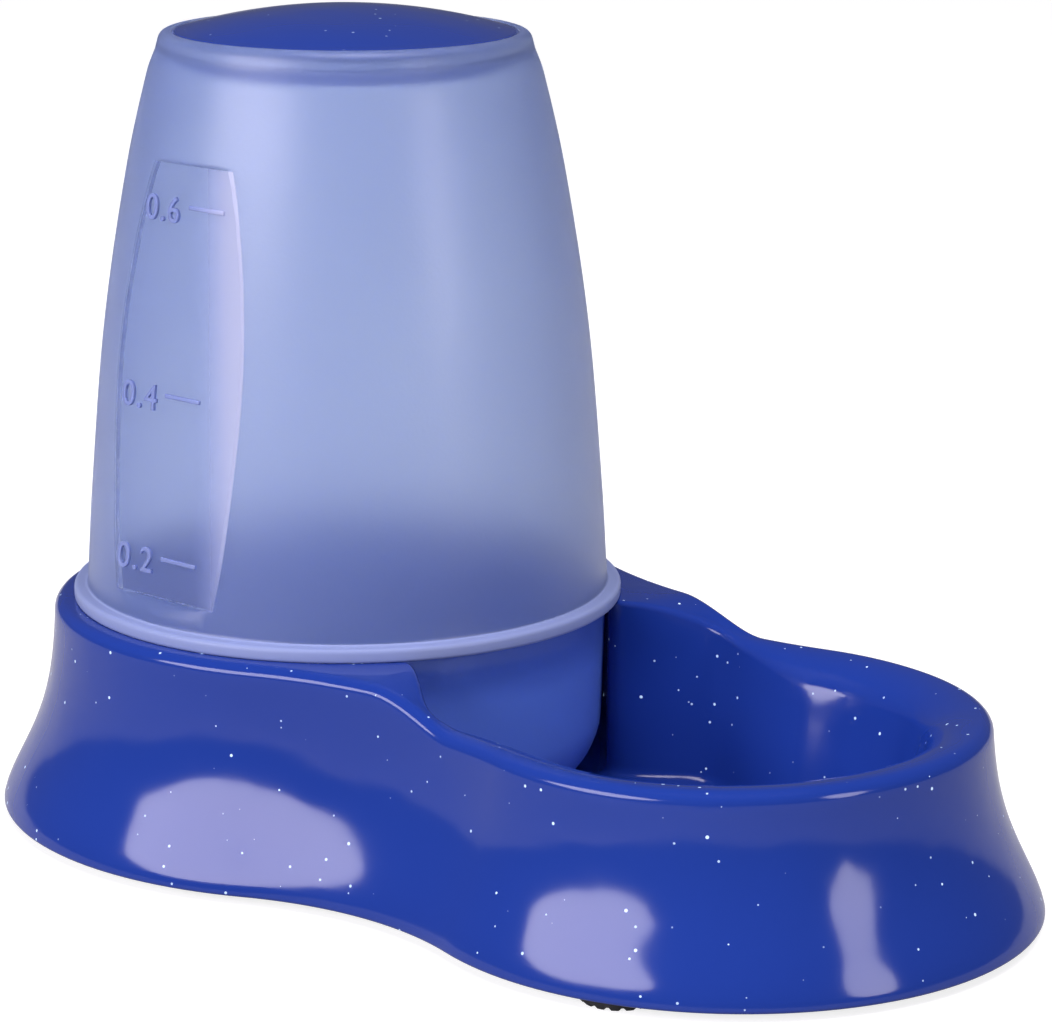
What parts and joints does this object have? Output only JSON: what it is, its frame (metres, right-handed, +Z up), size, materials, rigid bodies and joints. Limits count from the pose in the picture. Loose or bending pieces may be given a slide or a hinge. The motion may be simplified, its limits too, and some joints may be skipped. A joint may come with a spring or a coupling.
{
  "type": "pet food and water dispenser",
  "caption": "Gravity pet feeder: a frosted tapering tank with a press-in lid stands loose in a glossy waisted base, whose round bowl it keeps filled with food or water.",
  "frame": {"origin": "on the table, at the middle of the base's length and width", "axes": "+X from the tank towards the bowl, +Y across the base, +Z up"},
  "size_m": [0.2186, 0.1338, 0.1539],
  "materials": {
    "base_plastic": "high-gloss royal blue with sparse glitter",
    "tank_plastic": "frosted translucent blue",
    "lid_plastic": "high-gloss royal blue with sparse glitter",
    "seal_rubber": "satin silicone",
    "foot_rubber": "matt black"
  },
  "bodies": {
    "base": {"base": "base_plastic", "bowl_left_foot": "foot_rubber", "bowl_right_foot": "foot_rubber", "tank_left_foot": "foot_rubber", "tank_right_foot": "foot_rubber"},
    "tank": {"tank": "tank_plastic"},
    "lid": {"lid": "lid_plastic", "lid_seal": "seal_rubber"}
  },
  "joints": [
    {"name": "tank_lift", "type": "slide", "parent": "base", "child": "tank", "axis": [0, 0, 1], "range_m": [0, 0.045]},
    {"name": "lid_lift", "type": "slide", "parent": "tank", "child": "lid", "axis": [0, 0, 1], "range_m": [0, 0.02]}
  ]
}
